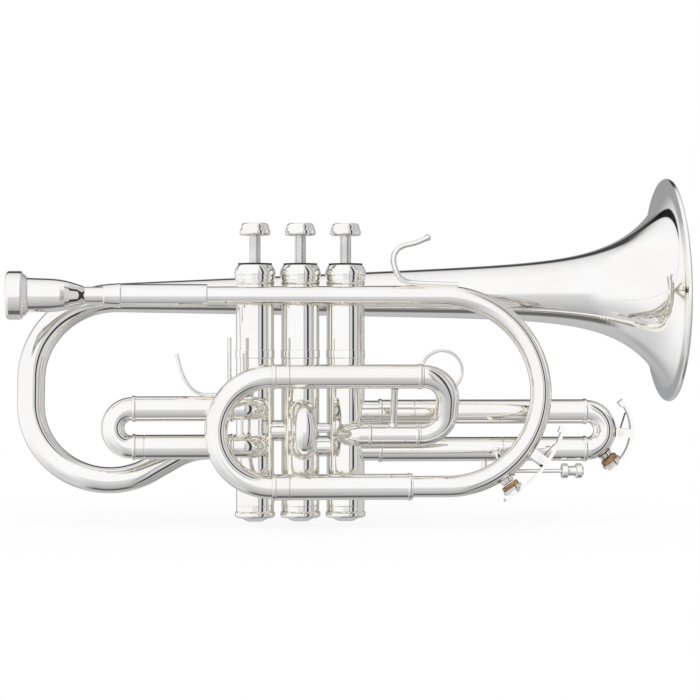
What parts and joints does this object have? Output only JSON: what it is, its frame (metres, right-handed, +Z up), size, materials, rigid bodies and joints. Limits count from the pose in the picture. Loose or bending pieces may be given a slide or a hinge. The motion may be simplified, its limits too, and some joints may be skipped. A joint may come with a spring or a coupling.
{
  "type": "cornet",
  "caption": "Silver-plated cornet with a shepherd's crook: piston valves, sliding tubes, water keys and a removable mouthpiece, each able to move.",
  "frame": {"origin": "middle of the flat underside of the middle valve's bottom cap", "axes": "+X along the instrument to the bell rim, +Z up along the valves to the buttons, -Y to the player's right hand side"},
  "size_m": [0.3735, 0.1333, 0.1923],
  "materials": {
    "silver_plate": "bright silver plate over brass, polished",
    "piston_metal": "honed nickel alloy",
    "stem_metal": "dull plated",
    "spring_steel": "oiled spring steel",
    "bare_brass": "turned",
    "button_inlay": "bright silver plate, lightly domed",
    "felt": "thin black felt",
    "cork": "natural cork"
  },
  "bodies": {
    "body": {"receiver": "silver_plate", "leadpipe": "silver_plate", "main_crook": "silver_plate", "tuning_outer_lower": "silver_plate", "tuning_outer_upper": "silver_plate", "return_bow": "silver_plate", "return_leg": "silver_plate", "ferrule_rings": "silver_plate", "casing_1": "silver_plate", "casing_2": "silver_plate", "casing_3": "silver_plate", "top_caps": "silver_plate", "bottom_caps": "silver_plate", "cap_felts": "felt", "valve_guides": "bare_brass", "valve_spring_1": "spring_steel", "valve_spring_2": "spring_steel", "valve_spring_3": "spring_steel", "valve_links": "silver_plate", "first_outer": "silver_plate", "second_outer": "silver_plate", "third_outer": "silver_plate", "stop_rod": "silver_plate", "bell": "silver_plate", "bell_crook": "silver_plate", "pinky_hook": "silver_plate", "braces": "silver_plate", "key_saddle_main": "silver_plate", "key_spring_main": "spring_steel"},
    "mouthpiece": {"mouthpiece": "silver_plate"},
    "valve_1": {"piston_1": "piston_metal", "stem_1": "stem_metal", "button_1": "silver_plate", "finger_inlay_1": "button_inlay"},
    "valve_2": {"piston_2": "piston_metal", "stem_2": "stem_metal", "button_2": "silver_plate", "finger_inlay_2": "button_inlay"},
    "valve_3": {"piston_3": "piston_metal", "stem_3": "stem_metal", "button_3": "silver_plate", "finger_inlay_3": "button_inlay"},
    "tuning_slide": {"tuning_bow": "silver_plate", "tuning_legs": "silver_plate"},
    "first_slide": {"first_bow": "silver_plate", "first_legs": "silver_plate", "thumb_saddle": "silver_plate"},
    "second_slide": {"second_bow": "silver_plate", "second_legs": "silver_plate"},
    "third_slide": {"third_bow": "silver_plate", "third_legs": "silver_plate", "finger_ring": "silver_plate", "key_saddle_third": "silver_plate", "key_spring_third": "spring_steel"},
    "main_water_key": {"key_lever_main": "silver_plate", "key_cork_main": "cork"},
    "third_water_key": {"key_lever_third": "silver_plate", "key_cork_third": "cork"},
    "stop_nut": {"stop_nut": "silver_plate"}
  },
  "joints": [
    {"name": "mouthpiece_pull", "type": "slide", "parent": "body", "child": "mouthpiece", "axis": [-1, 0, 0], "range_m": [0, 0.022]},
    {"name": "valve_1_press", "type": "slide", "parent": "body", "child": "valve_1", "axis": [0, 0, -1], "range_m": [0, 0.0152], "stiffness_N_per_m": 90, "springref_m": -0.03, "deforming": ["valve_spring_1"]},
    {"name": "valve_2_press", "type": "slide", "parent": "body", "child": "valve_2", "axis": [0, 0, -1], "range_m": [0, 0.0152], "stiffness_N_per_m": 90, "springref_m": -0.03, "deforming": ["valve_spring_2"]},
    {"name": "valve_3_press", "type": "slide", "parent": "body", "child": "valve_3", "axis": [0, 0, -1], "range_m": [0, 0.0152], "stiffness_N_per_m": 90, "springref_m": -0.03, "deforming": ["valve_spring_3"]},
    {"name": "tuning_pull", "type": "slide", "parent": "body", "child": "tuning_slide", "axis": [-1, 0, 0], "range_m": [0, 0.034]},
    {"name": "first_pull", "type": "slide", "parent": "body", "child": "first_slide", "axis": [-1, 0, 0], "range_m": [0, 0.02]},
    {"name": "second_pull", "type": "slide", "parent": "body", "child": "second_slide", "axis": [0, -1, 0], "range_m": [0, 0.01]},
    {"name": "third_throw", "type": "slide", "parent": "body", "child": "third_slide", "axis": [1, 0, 0], "range_m": [0, 0.026]},
    {"name": "main_key_press", "type": "hinge", "parent": "body", "child": "main_water_key", "pos_m": [0.13001, -0.03133, 0.03419], "axis": [0, -0.9875, 0.1577], "range_deg": [0, 8], "stiffness_Nm_per_rad": 0.1, "springref_deg": -28.65, "deforming": ["key_spring_main"]},
    {"name": "third_key_press", "type": "hinge", "parent": "third_slide", "child": "third_water_key", "pos_m": [0.18028, 0, 0.04827], "axis": [0, -1, 0], "range_deg": [0, 14], "stiffness_Nm_per_rad": 0.1, "springref_deg": -28.65, "deforming": ["key_spring_third"]},
    {"name": "stop_nut_turn", "type": "hinge", "parent": "body", "child": "stop_nut", "pos_m": [0.1461, 0, 0.0271], "axis": [1, 0, 0], "continuous": true}
  ]
}
